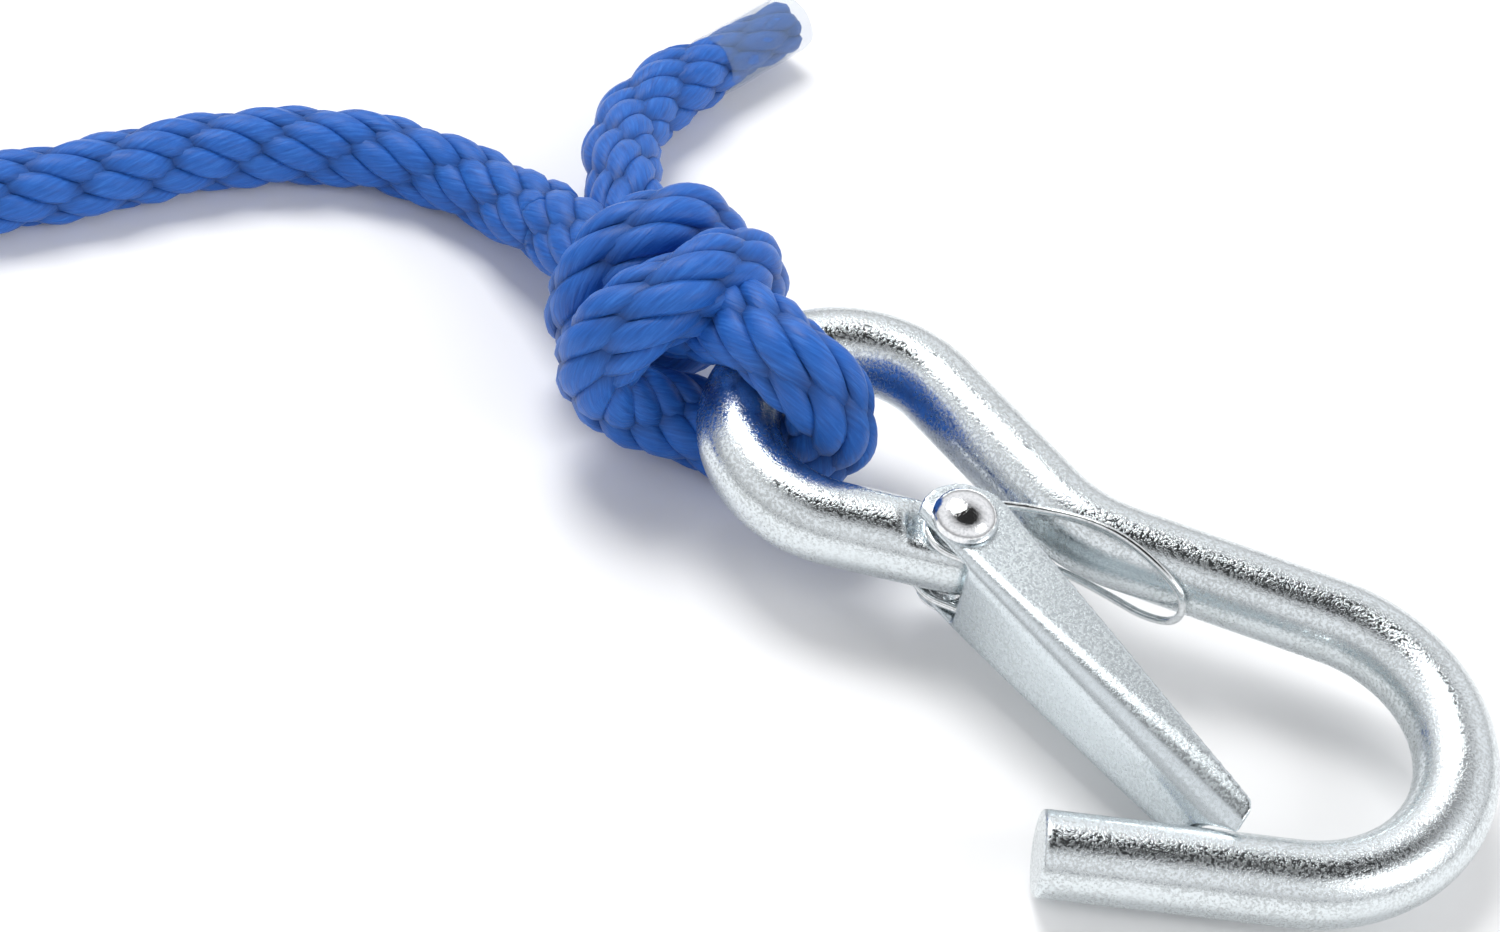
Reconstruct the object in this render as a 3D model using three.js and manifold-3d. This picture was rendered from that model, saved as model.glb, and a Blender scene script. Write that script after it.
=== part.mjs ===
// Barrier rope: a braided rope knotted to a spring-gate snap hook.
// Units are millimetres, +Z is up and the floor is z = 0. The hook lies with its nose bar flat on
// the floor and its eye raised on the rope loop; the free end of the rope is coiled beside it.

import * as THREE from 'three';
import { mergeVertices } from 'three/addons/utils/BufferGeometryUtils.js';
import Module from 'manifold-3d';

const wasm = await Module();
wasm.setup();

// ---------------------------------------------------------------- driving dimensions
const GAP = 0.3;                      // free space between pieces that would touch

// Hook, drawn in its own plane: X runs from the eye to the bend, Y towards the straight limb.
const BAR_RADIUS = 5;                 // round bar of a 10 mm snap hook
const EYE_RADIUS = 13.6;              // centreline of the eye
const NECK_RADIUS = 19;               // reverse bend between the limb and the shank
const BEND_RADIUS = 19.4;             // centreline of the hook's bend
const ARM_Y = -5.6;                   // height of the arm that carries the gate
const ARM_END_X = 30.5;
const ARM_LENGTH = 19.5;
const LIMB_LENGTH = 20.26;
const SHANK_LENGTH = 25.48;
const NOSE_LENGTH = 29.4;
const EYE_TURN = 220.6;               // degrees of bend, in order along the bar
const NECK_TURN = 32.6;
const BEND_TURN = 164.2;
const NOSE_SLOPE = 7.8;               // the nose bar against the hook's X axis, in degrees
const HOOK_TILT = 8.5;                // the hook's plane against the floor, in degrees
const NOSE_LIFT = 1.1;                // the gate is wider than the bar and holds it off the floor

// Pivot of the gate
const PIVOT = { x: 25.5, y: -5.9 };
const TONGUE_HALF = 3.7;              // half thickness of the flattened end of the arm
const TONGUE_RADIUS = 5;
const TONGUE_START_X = 18;
const SHANK_PIN_RADIUS = 2.5;
const PIN_HOLE_RADIUS = SHANK_PIN_RADIUS + GAP;
const RIVET_HEAD_RADIUS = 3.95;
const RIVET_HEAD_HEIGHT = 2.5;
const RIVET_TAIL_RADIUS = 3.4;        // the far end is only set down, into a low button
const RIVET_TAIL_HEIGHT = 0.9;

// Gate, a pressed channel of sheet steel
const SHEET = 1.2;
const GATE_HALF = 6.5;                // half of the width over both cheeks
const GATE_FOLD = 1.9;                // outer radius of the folds at the pivot
const GATE_TIP_FOLD = 6;              // they open out to a round trough at the tip
const GATE_LENGTH = 44.7;             // along the web, from its cut end to the tip
const WEB_SLOPE = -40.2;              // direction of the web, in degrees
const NOSE_CLEARANCE = BAR_RADIUS + GAP + 0.05;

// Gate spring, of round wire
const WIRE_RADIUS = 0.5;
const SPRING_RADIUS = 4;
const SPRING_Z = (TONGUE_HALF + GATE_HALF - SHEET) / 2;
const TAIL_OFFSET = SHEET + WIRE_RADIUS + 2 * GAP;

// Rope
const ROPE_RADIUS = 5;
const KNOT_ROPE_RADIUS = 4.2;         // the rope is squeezed where it is knotted
const ROPE_END_RADIUS = 3.4;          // and where its end is melted inside the sleeve
const SLEEVE_RADIUS = 4.1;
const SLEEVE_WALL = 0.35;
const SLEEVE_LENGTH = 15.5;

// Coil: two turns side by side on the floor and one in the groove on top of them
const COIL_CENTRE = { x: -176.5, y: 44.6 };
const COIL_RADIUS = 52.5;
const COIL_HALF_WIDTH = 10.1;
const COIL_HEIGHT = 18.8;
const COIL_ENTRY = -55.1;             // direction from the centre to where the rope comes in
const INNER_RADIUS = 37.2;            // the end of the rope lies along the inside of the coil
const INNER_START = COIL_ENTRY + 62;  // the coil is wound clockwise, so angles fall along the rope
const INNER_SWEEP = 62;
const INNER_DRAW = 4;                 // and turns in towards the middle at its very end
const TIE_WIDTH = 14;
const TIE_SHEET = 1.2;
const TIE_ANGLE = 130;
const SQUEEZE = 2.2;                  // how far the tie draws the turns together on each side

// Middle of the hook and knot on the floor, which becomes the part's origin
const ORIGIN = { x: 29.57, y: 24.72 };

// ---------------------------------------------------------------- helpers
const radians = THREE.MathUtils.degToRad;
const point = (p) => new THREE.Vector3(...p);

function toSolid(geometry) {
  const bare = geometry.index ? geometry.toNonIndexed() : geometry.clone();
  bare.deleteAttribute('normal');
  bare.deleteAttribute('uv');
  const merged = mergeVertices(bare, 1e-4);
  return new wasm.Manifold(new wasm.Mesh({
    numProp: 3,
    vertProperties: new Float32Array(merged.attributes.position.array),
    triVerts: new Uint32Array(merged.index.array),
  }));
}

function toGeometry(solid) {
  const mesh = solid.getMesh();
  const geometry = new THREE.BufferGeometry();
  geometry.setAttribute('position', new THREE.BufferAttribute(mesh.vertProperties, 3));
  geometry.setIndex(new THREE.BufferAttribute(mesh.triVerts, 1));
  geometry.computeVertexNormals();
  return geometry;
}

function outline(points) {
  return new THREE.Shape(points.map(([x, y]) => new THREE.Vector2(x, y)));
}

function circle(radius, sides) {
  const corners = [];
  for (let i = 0; i < sides; i += 1) {
    const angle = (2 * Math.PI * i) / sides;
    corners.push([radius * Math.cos(angle), radius * Math.sin(angle)]);
  }
  return outline(corners);
}

// A plate of the outline's shape between two heights
function plate(shape, low, high) {
  const geometry = new THREE.ExtrudeGeometry(shape, {
    depth: high - low, bevelEnabled: false, curveSegments: 12,
  });
  return geometry.translate(0, 0, low);
}

function tube(path, radius, sides, steps) {
  return new THREE.ExtrudeGeometry(circle(radius, sides), {
    extrudePath: path, steps, bevelEnabled: false,
  });
}

// A round pin or hole along the hook plane's normal, at the pivot
function pivotCylinder(radius, low, high, sides = 32) {
  return plate(circle(radius, sides), low, high).translate(PIVOT.x, PIVOT.y, 0);
}

// Part of a longer curve, between two fractions of its length
class Stretch extends THREE.Curve {
  constructor(curve, from, to) {
    super();
    this.curve = curve;
    this.from = from;
    this.to = to;
  }

  getPoint(t, target = new THREE.Vector3()) {
    return this.curve.getPointAt(this.from + (this.to - this.from) * t, target);
  }
}

// An arc in a level plane, which may draw in towards its centre; angles in degrees
class LevelArc extends THREE.Curve {
  constructor(centre, radius, start, sweep, height = 0, inward = 0) {
    super();
    Object.assign(this, { centre, radius, start, sweep, height, inward });
  }

  getPoint(t, target = new THREE.Vector3()) {
    const angle = radians(this.start + this.sweep * t);
    const radius = this.radius - this.inward * t * t;
    return target.set(
      this.centre.x + radius * Math.cos(angle),
      this.centre.y + radius * Math.sin(angle),
      this.height,
    );
  }
}

// Bar centreline, bent step by step like the real bar: straight lengths and turns
class BentBar extends THREE.CurvePath {
  constructor(x, y, heading) {
    super();
    this.at = { x, y };
    this.heading = heading;
  }

  straight(length) {
    const end = {
      x: this.at.x + length * Math.cos(radians(this.heading)),
      y: this.at.y + length * Math.sin(radians(this.heading)),
    };
    this.add(new THREE.LineCurve3(
      new THREE.Vector3(this.at.x, this.at.y, 0), new THREE.Vector3(end.x, end.y, 0),
    ));
    this.at = end;
    return this;
  }

  turn(radius, degrees) {
    const side = Math.sign(degrees);
    const centre = {
      x: this.at.x - side * radius * Math.sin(radians(this.heading)),
      y: this.at.y + side * radius * Math.cos(radians(this.heading)),
    };
    const start = this.heading - side * 90;
    const arc = new LevelArc(centre, radius, start, degrees);
    this.add(arc);
    const end = arc.getPoint(1);
    this.at = { x: end.x, y: end.y };
    this.heading += degrees;
    return this;
  }
}

// ---------------------------------------------------------------- materials
const finish = (color, metalness, roughness) => (
  new THREE.MeshStandardMaterial({ color, metalness, roughness })
);
const zincPlate = finish(0xb9c0c6, 1, 0.32);
const sheetZinc = finish(0xaab2b8, 1, 0.38);
const polished = finish(0xd6d9dc, 1, 0.12);
const springSteel = finish(0xb4babd, 1, 0.25);
const blueRope = finish(0x1a55b4, 0, 0.55);
const clearFilm = finish(0x7fa6cf, 0, 0.15);
const tieFabric = finish(0x1c1d20, 0, 0.8);

// ---------------------------------------------------------------- hook body
const barPath = new BentBar(ARM_END_X, ARM_Y, 180)
  .straight(ARM_LENGTH)
  .turn(EYE_RADIUS, -EYE_TURN)
  .straight(LIMB_LENGTH)
  .turn(NECK_RADIUS, NECK_TURN)
  .straight(SHANK_LENGTH)
  .turn(BEND_RADIUS, -BEND_TURN)
  .straight(NOSE_LENGTH);
const noseEnd = barPath.at;

function hookBody() {
  const bar = toSolid(tube(barPath, BAR_RADIUS, 20, 96));
  // The press that flattens the tongue leaves a short ramp on both faces.
  const reach = BAR_RADIUS + 1;
  const ramp = reach - TONGUE_HALF;
  const top = ARM_Y + BAR_RADIUS + 0.2; // just above the arm and clear of the limb
  const depth = 2 * BAR_RADIUS + 1;
  const flat = outline([
    [TONGUE_START_X, reach], [TONGUE_START_X + ramp, TONGUE_HALF],
    [ARM_END_X + 1, TONGUE_HALF], [ARM_END_X + 1, reach],
  ]);
  const press = plate(flat, 0, depth).rotateX(Math.PI / 2).translate(0, top, 0);
  const below = press.clone().rotateX(Math.PI).translate(0, 2 * top - depth, 0);
  const square = plate(outline([
    [PIVOT.x, top - depth], [ARM_END_X + 1, top - depth], [ARM_END_X + 1, top], [PIVOT.x, top],
  ]), -reach, reach);
  const round = pivotCylinder(TONGUE_RADIUS, -reach - 1, reach + 1, 40);
  const hole = pivotCylinder(PIN_HOLE_RADIUS, -reach, reach);
  return toGeometry(bar
    .subtract(toSolid(press))
    .subtract(toSolid(below))
    .subtract(toSolid(square).subtract(toSolid(round)))
    .subtract(toSolid(hole)));
}

// ---------------------------------------------------------------- gate
// The web's outer face starts at this point and runs down to the nose.
const WEB_START = { x: 27.0, y: -12.4 };

function alongWeb(distance, offset) {
  const angle = radians(WEB_SLOPE);
  return [
    WEB_START.x + distance * Math.cos(angle) - offset * Math.sin(angle),
    WEB_START.y + distance * Math.sin(angle) + offset * Math.cos(angle),
  ];
}

function cheekOutline() {
  const shape = new THREE.Shape();
  shape.moveTo(20.1, -5.9);
  shape.lineTo(26.6, -11.6);
  shape.lineTo(...alongWeb(0, 0));
  shape.lineTo(...alongWeb(GATE_LENGTH - 2.2, -0.2));
  shape.lineTo(...alongWeb(GATE_LENGTH, 0.7));
  shape.lineTo(...alongWeb(GATE_LENGTH - 1.1, 4.4));
  shape.lineTo(...alongWeb(GATE_LENGTH - 1.9, 5.2));
  shape.lineTo(35.3, -7.6);
  shape.lineTo(29.9, -2.1);
  shape.quadraticCurveTo(27.6, -0.1, 24.6, -0.6);
  shape.quadraticCurveTo(21.6, -1.2, 20.5, -3.9);
  shape.lineTo(20.1, -5.9);
  return shape;
}

// Outer radius of the folds at a distance along the web
function foldRadius(distance) {
  const share = THREE.MathUtils.clamp(distance / GATE_LENGTH, 0, 1);
  return GATE_FOLD + (GATE_TIP_FOLD - GATE_FOLD) * share ** 1.3;
}

// Section across the web as [hook Z, height above the web's outer face], open at the top; a wall
// thickness of 0 gives the outside of the channel.
function channelSection(distance, wall, top) {
  const half = GATE_HALF - wall;
  const fold = foldRadius(distance) - wall;
  const corners = 6;
  const section = [[-half, top]];
  for (let i = 0; i <= corners; i += 1) {
    const angle = (Math.PI / 2) * (i / corners);
    section.push([-half + fold * (1 - Math.cos(angle)), wall + fold * (1 - Math.sin(angle))]);
  }
  const mirrored = section.map(([z, height]) => [-z, height]).reverse();
  return [...section, ...mirrored];
}

// A solid lofted through the channel's sections, from one distance along the web to another
function channelLoft(wall, top, from, to) {
  const stations = 16;
  const angle = radians(WEB_SLOPE);
  const along = new THREE.Vector3(Math.cos(angle), Math.sin(angle), 0);
  const inward = new THREE.Vector3(-Math.sin(angle), Math.cos(angle), 0);
  const positions = [];
  for (let i = 0; i < stations; i += 1) {
    const distance = from + ((to - from) * i) / (stations - 1);
    channelSection(distance, wall, top).forEach(([z, height]) => {
      const corner = new THREE.Vector3(WEB_START.x, WEB_START.y, z);
      corner.addScaledVector(along, distance).addScaledVector(inward, height);
      positions.push(corner.x, corner.y, corner.z);
    });
  }
  const count = positions.length / 3 / stations;
  const index = [];
  for (let i = 0; i < stations - 1; i += 1) {
    for (let j = 0; j < count; j += 1) {
      const a = i * count + j;
      const b = i * count + ((j + 1) % count);
      index.push(a, a + count, b, b, a + count, b + count);
    }
  }
  const last = (stations - 1) * count;
  for (let j = 1; j < count - 1; j += 1) {
    index.push(0, j, j + 1, last, last + j + 1, last + j);
  }
  const geometry = new THREE.BufferGeometry();
  geometry.setAttribute('position', new THREE.Float32BufferAttribute(positions, 3));
  geometry.setIndex(index);
  return geometry;
}

function gate() {
  const blank = toSolid(plate(cheekOutline(), -GATE_HALF - 1, GATE_HALF + 1));
  const outside = toSolid(channelLoft(0, 30, -20, 60));
  const inside = toSolid(channelLoft(SHEET, 32, -22, 62));
  // The web is cut back at the pivot end, so that the arm passes between the two ears.
  const mouth = toSolid(plate(outline([
    [12, 2], [12, -30], [WEB_START.x + 0.1, -30], [WEB_START.x + 0.1, 2],
  ]), -GATE_HALF + SHEET, GATE_HALF - SHEET));
  const hole = toSolid(pivotCylinder(PIN_HOLE_RADIUS, -GATE_HALF - 2, GATE_HALF + 2));
  const slope = radians(NOSE_SLOPE);
  const noseRun = new THREE.LineCurve3(
    new THREE.Vector3(noseEnd.x, noseEnd.y, 0),
    new THREE.Vector3(noseEnd.x + 40 * Math.cos(slope), noseEnd.y + 40 * Math.sin(slope), 0),
  );
  const nose = toSolid(tube(noseRun, NOSE_CLEARANCE, 36, 1));
  const channel = blank.intersect(outside).subtract(inside).subtract(mouth);
  const pieces = channel.subtract(hole).subtract(nose).decompose();
  pieces.sort((a, b) => b.volume() - a.volume());
  return toGeometry(pieces[0]);
}

// ---------------------------------------------------------------- rivet
function rivet() {
  const seat = GATE_HALF + GAP;
  const dome = (radius, height) => {
    const steps = 7;
    const ring = [];
    for (let i = 1; i <= steps; i += 1) {
      const angle = (Math.PI / 2) * (i / steps);
      ring.push([radius * Math.sin(angle), seat + height * Math.cos(angle)]);
    }
    return ring;
  };
  const tail = dome(RIVET_TAIL_RADIUS, RIVET_TAIL_HEIGHT).map(([r, z]) => [r, -z]);
  const profile = [
    [0, -seat - RIVET_TAIL_HEIGHT], ...tail,
    [SHANK_PIN_RADIUS, -seat], [SHANK_PIN_RADIUS, seat],
    ...dome(RIVET_HEAD_RADIUS, RIVET_HEAD_HEIGHT).reverse(), [0, seat + RIVET_HEAD_HEIGHT],
  ];
  const lathe = new THREE.LatheGeometry(profile.map(([r, z]) => new THREE.Vector2(r, z)), 32);
  lathe.rotateX(Math.PI / 2).translate(PIVOT.x, PIVOT.y, 0);
  return toGeometry(toSolid(lathe));
}

// ---------------------------------------------------------------- gate spring
// One wire: a tail on the web, a coil beside the tongue, a leg along the shank, the closed end
// that presses on the shank, and the same again back to the other tail.
function springHalf(side) {
  const z = side * SPRING_Z;
  const points = [];
  points.push(point([...alongWeb(9.5, TAIL_OFFSET), side * 4.2]));
  points.push(point([...alongWeb(3.4, TAIL_OFFSET + 0.4), side * 4.3]));
  points.push(point([27.7, -10.4, z]));
  const first = 262;                  // degrees, where the tail runs into the coil
  const sweep = -172;                 // clockwise round the pin, over the top to the leg
  for (let i = 0; i <= 6; i += 1) {
    const angle = radians(first + (sweep * i) / 6);
    points.push(point([
      PIVOT.x + SPRING_RADIUS * Math.cos(angle), PIVOT.y + SPRING_RADIUS * Math.sin(angle), z,
    ]));
  }
  points.push(point([29.8, -0.75, z]));
  points.push(point([34.2, -0.3, side * 4.6]));
  points.push(point([39.8, -0.8, side * 5.2]));
  points.push(point([44.4, -2.3, side * 5.3]));
  points.push(point([49, -4.7, side * 4.5]));
  points.push(point([52, -6.2, side * 2.6]));
  return points;
}

function gateSpring() {
  const front = springHalf(1);
  const rear = springHalf(-1).reverse();
  const closedEnd = point([52.8, -6.6, 0]);
  const wire = new THREE.CatmullRomCurve3([...front, closedEnd, ...rear], false, 'centripetal');
  return toGeometry(toSolid(tube(wire, WIRE_RADIUS, 8, 120)));
}

// ---------------------------------------------------------------- rope
// Route of the rope through the knot, from the standing part to the tail: over the eye bar, down
// through the eye, back under the bar, and twice round itself.
const KNOT_ROUTE = [
  [-29.2, 39.2, 9.6], [-24.5, 33.6, 12], [-19, 27.8, 14], [-14, 22.5, 15.5], [-9.6, 17.6, 18.4],
  [-6.6, 13.6, 23.2], [-1.3, 8.9, 24.9], [3.2, 5.8, 24.7], [7, 5.4, 21.5], [8.6, 6.8, 16],
  [7.6, 9.2, 10.3], [4, 11.6, 6.2], [-1.5, 13.2, 5], [-7.5, 13.8, 5.6], [-13.2, 13, 7.2],
  [-17.8, 11.3, 10.2], [-20.3, 9.6, 14.5], [-19.6, 8.6, 19.8], [-16.4, 8.8, 24.4], [-12, 11.8, 26.8],
  [-8.2, 17, 26.4], [-6, 23.2, 22.5], [-6.2, 27.8, 16], [-9.5, 28.5, 9.5], [-14, 26.5, 6],
  [-19.5, 24, 6.5], [-23.2, 22.5, 11], [-23, 22.4, 17], [-20, 24.3, 21.7], [-15.5, 28.6, 22.5],
  [-12, 33.2, 19], [-12, 36, 13.5], [-14.5, 37.5, 10], [-18, 39.2, 9], [-20.6, 41.8, 9.6],
  [-21.9, 44.4, 9.9],
];
const TAIL_ROUTE = [
  [-22.3, 45.8, 10.1], [-23.9, 52.6, 9], [-25.1, 58.9, 7.5], [-25.2, 66, 6],
  [-23.6, 73.2, 5.2], [-20.8, 79, 5], [-17.4, 84.2, 5],
];
// Free rope: from the knot to the floor, across the floor, and up to the coil
const RUN_ROUTE = [
  [-30, 40.1, 9.2], [-35.7, 45.2, 6.9], [-41.7, 49.4, 5.4], [-48.1, 51.6, 5.05], [-54.8, 52.2, 5],
  [-61.1, 51.4, 5], [-67, 49.3, 5], [-74, 45.9, 5], [-80.6, 41.4, 5], [-87.9, 35.4, 5],
  [-97.7, 28.7, 5], [-105.9, 23.1, 5], [-114.1, 17.5, 5], [-122.3, 11.9, 5], [-130.5, 6.3, 5],
  [-137, 1.8, 5],
];

const routeCurve = (route) => (
  new THREE.CatmullRomCurve3(route.map(point), false, 'centripetal')
);

function ropeKnot() {
  const route = routeCurve(KNOT_ROUTE);
  const count = 6;
  const lap = 0.006;                  // the stretches lap a little so that they join
  let knot = null;
  for (let i = 0; i < count; i += 1) {
    const from = Math.max(0, i / count - lap);
    const to = Math.min(1, (i + 1) / count + lap);
    const stretch = toSolid(tube(new Stretch(route, from, to), KNOT_ROPE_RADIUS, 10, 12));
    knot = knot ? knot.add(stretch) : stretch;
  }
  return toGeometry(knot);
}

// A short straight pin of rope, of the melted end's size, from one point towards another
function meltedEnd(from, direction, length) {
  const line = new THREE.LineCurve3(from, from.clone().addScaledVector(direction, length));
  return tube(line, ROPE_END_RADIUS, 12, 1);
}

function ropeTail() {
  const route = routeCurve(TAIL_ROUTE);
  const body = toSolid(tube(route, ROPE_RADIUS, 12, 26));
  const direction = route.getTangentAt(1);
  const start = route.getPointAt(1).addScaledVector(direction, -1);
  return toGeometry(body.add(toSolid(meltedEnd(start, direction, SLEEVE_LENGTH))));
}

// A thin open tube round the melted end of a rope
function sleeve(ropeEnd, direction) {
  const outer = new THREE.LineCurve3(
    ropeEnd.clone().addScaledVector(direction, GAP),
    ropeEnd.clone().addScaledVector(direction, SLEEVE_LENGTH),
  );
  const bore = new THREE.LineCurve3(
    ropeEnd.clone().addScaledVector(direction, -1),
    ropeEnd.clone().addScaledVector(direction, SLEEVE_LENGTH + 1),
  );
  const shell = toSolid(tube(outer, SLEEVE_RADIUS, 24, 1));
  return toGeometry(shell.subtract(toSolid(tube(bore, SLEEVE_RADIUS - SLEEVE_WALL, 24, 1))));
}

function tailSleeve() {
  const route = routeCurve(TAIL_ROUTE);
  return sleeve(route.getPointAt(1), route.getTangentAt(1));
}

// The run stops at the coil's outer side, where it becomes the first turn.
function ropeRun() {
  const run = toSolid(tube(routeCurve(RUN_ROUTE), ROPE_RADIUS, 12, 60));
  const room = COIL_RADIUS + COIL_HALF_WIDTH + GAP;
  const coilRoom = plate(circle(room, 96), -1, COIL_HEIGHT);
  coilRoom.translate(COIL_CENTRE.x, COIL_CENTRE.y, 0);
  return toGeometry(run.subtract(toSolid(coilRoom)));
}

// The coil's outer shape, drawn in where the tie squeezes it
function ropeCoil() {
  const inner = COIL_RADIUS - COIL_HALF_WIDTH;
  const outer = COIL_RADIUS + COIL_HALF_WIDTH;
  const section = [
    [inner + 2.4, 0], [outer - 2.4, 0], [outer, 3], [outer, 7.4], [COIL_RADIUS + 6.6, 12],
    [COIL_RADIUS + 5, 16.6], [COIL_RADIUS + 2.2, COIL_HEIGHT], [COIL_RADIUS - 2.2, COIL_HEIGHT],
    [COIL_RADIUS - 5, 16.6], [COIL_RADIUS - 6.6, 12], [inner, 7.4], [inner, 3],
    [inner + 2.4, 0],
  ];
  const ring = new THREE.LatheGeometry(section.map(([r, z]) => new THREE.Vector2(r, z)), 48);
  ring.rotateX(Math.PI / 2);
  const band = toSolid(tieBox(TIE_WIDTH + 2 * GAP, 6, 6));
  const waist = toSolid(tieBox(TIE_WIDTH + 8, -SQUEEZE, -(TIE_SHEET + GAP)));
  const coil = toSolid(ring).subtract(band.subtract(waist));
  return toGeometry(coil).translate(COIL_CENTRE.x, COIL_CENTRE.y, 0);
}

// A block across the bundle at the tie, grown sideways and upwards from the coil's section
function tieBox(width, sideways, upwards) {
  const low = COIL_RADIUS - COIL_HALF_WIDTH - sideways;
  const high = COIL_RADIUS + COIL_HALF_WIDTH + sideways;
  const box = new THREE.BoxGeometry(high - low, width, COIL_HEIGHT + 2 * upwards);
  box.translate((low + high) / 2, 0, COIL_HEIGHT / 2);
  return box.rotateZ(radians(TIE_ANGLE));
}

function coilTie() {
  const inside = SQUEEZE - GAP;
  const outer = tieBox(TIE_WIDTH, TIE_SHEET - inside, 0);
  const inner = tieBox(TIE_WIDTH + 2, -inside, -TIE_SHEET);
  const band = toSolid(outer).subtract(toSolid(inner));
  return toGeometry(band).translate(COIL_CENTRE.x, COIL_CENTRE.y, 0);
}

function farEndPath() {
  return new LevelArc(
    COIL_CENTRE, INNER_RADIUS, INNER_START, -INNER_SWEEP, ROPE_RADIUS, INNER_DRAW,
  );
}

function ropeEnd() {
  const path = farEndPath();
  const body = toSolid(tube(path, ROPE_RADIUS, 12, 14));
  const direction = path.getTangentAt(1);
  const start = path.getPointAt(1).addScaledVector(direction, -1);
  return toGeometry(body.add(toSolid(meltedEnd(start, direction, SLEEVE_LENGTH))));
}

function endSleeve() {
  const path = farEndPath();
  return sleeve(path.getPointAt(1), path.getTangentAt(1));
}

// ---------------------------------------------------------------- assembly
function piece(name, geometry, material) {
  const mesh = new THREE.Mesh(geometry, material);
  mesh.name = name;
  return mesh;
}

// The hook's plane turns about its nose bar, the side that lies nearest the floor.
const hookPlane = new THREE.Group();
hookPlane.position.set(-noseEnd.x, -noseEnd.y, 0);
hookPlane.add(
  piece('hook_body', hookBody(), zincPlate),
  piece('gate', gate(), sheetZinc),
  piece('gate_rivet', rivet(), polished),
  piece('gate_spring', gateSpring(), springSteel),
);
const hookTilt = new THREE.Group();
const noseDirection = new THREE.Vector3(
  Math.cos(radians(NOSE_SLOPE)), Math.sin(radians(NOSE_SLOPE)), 0,
);
hookTilt.quaternion.setFromAxisAngle(noseDirection, radians(HOOK_TILT));
hookTilt.position.set(noseEnd.x, noseEnd.y, BAR_RADIUS + NOSE_LIFT);
hookTilt.add(hookPlane);

const rope = new THREE.Group();
rope.add(
  piece('rope_knot', ropeKnot(), blueRope),
  piece('rope_tail', ropeTail(), blueRope),
  piece('tail_sleeve', tailSleeve(), clearFilm),
  piece('rope_run', ropeRun(), blueRope),
  piece('rope_coil', ropeCoil(), blueRope),
  piece('coil_tie', coilTie(), tieFabric),
  piece('rope_end', ropeEnd(), blueRope),
  piece('end_sleeve', endSleeve(), clearFilm),
);

const assembly = new THREE.Group();
assembly.position.set(-ORIGIN.x, -ORIGIN.y, 0);
assembly.add(hookTilt, rope);

export default assembly;
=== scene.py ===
"""Barrier rope with a snap hook: the visual model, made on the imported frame.

The object's own dimensions are in millimetres and are turned into metres where a mesh is made.
"""
import math
import bpy
import numpy as np
from mathutils import Matrix, Vector


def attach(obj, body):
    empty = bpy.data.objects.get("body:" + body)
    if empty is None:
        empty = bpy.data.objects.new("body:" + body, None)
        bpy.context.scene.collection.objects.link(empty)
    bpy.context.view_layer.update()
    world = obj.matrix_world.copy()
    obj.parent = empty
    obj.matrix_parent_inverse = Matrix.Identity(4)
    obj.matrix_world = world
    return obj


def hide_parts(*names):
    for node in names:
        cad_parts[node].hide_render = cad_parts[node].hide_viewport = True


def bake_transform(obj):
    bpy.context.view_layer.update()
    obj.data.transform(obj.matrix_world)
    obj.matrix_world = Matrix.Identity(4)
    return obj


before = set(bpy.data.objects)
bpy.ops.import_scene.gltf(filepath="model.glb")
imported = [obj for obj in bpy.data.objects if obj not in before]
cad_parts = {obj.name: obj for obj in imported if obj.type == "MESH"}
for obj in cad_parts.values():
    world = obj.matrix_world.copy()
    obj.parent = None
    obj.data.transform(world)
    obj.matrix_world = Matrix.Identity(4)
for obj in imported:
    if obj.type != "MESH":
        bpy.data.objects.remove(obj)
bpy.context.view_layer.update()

MM = 0.001
ORIGIN = np.array([29.57, 24.72, 0.0])  # the middle of the hook and knot on the floor
FLOOR_GAP = 0.02                        # the rope's surface is flattened this far above the floor

# Hook, drawn in its own plane: X runs from the eye to the bend. Angles are in degrees.
BAR_RADIUS = 5.0
EYE_RADIUS = 13.6
NECK_RADIUS = 19.0
BEND_RADIUS = 19.4
ARM_END = (30.5, -5.6)
ARM_LENGTH = 19.5
LIMB_LENGTH = 20.26
SHANK_LENGTH = 25.48
NOSE_LENGTH = 29.4
EYE_TURN = 220.6
NECK_TURN = 32.6
BEND_TURN = 164.2
NOSE_SLOPE = 7.8
HOOK_TILT = 8.5
NOSE_LIFT = 1.1
PIVOT = (25.5, -5.9)
TONGUE_HALF = 3.7
TONGUE_START_X = 18.0
TONGUE_RAMP = 2.3
BAR_STEP = 0.5                          # distance between the bar's rings
NOSE_BEVEL = 0.6

# Gate, rivet and spring
SHEET = 1.2
WEB_SLOPE = -40.2
WEB_START = (27.0, -12.4)
RIVET_SEAT = 6.8
RIVET_HEAD = (3.95, 2.5)                # radius and height
RIVET_TAIL = (3.4, 0.9)
RIVET_SHANK = 2.5
RIVET_SINK = 0.12                       # the heads sit this far into the free space of the seat
WIRE_RADIUS = 0.5
SPRING_RADIUS = 4.0
SPRING_Z = 4.5
WIRE_STEP = 0.35

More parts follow.
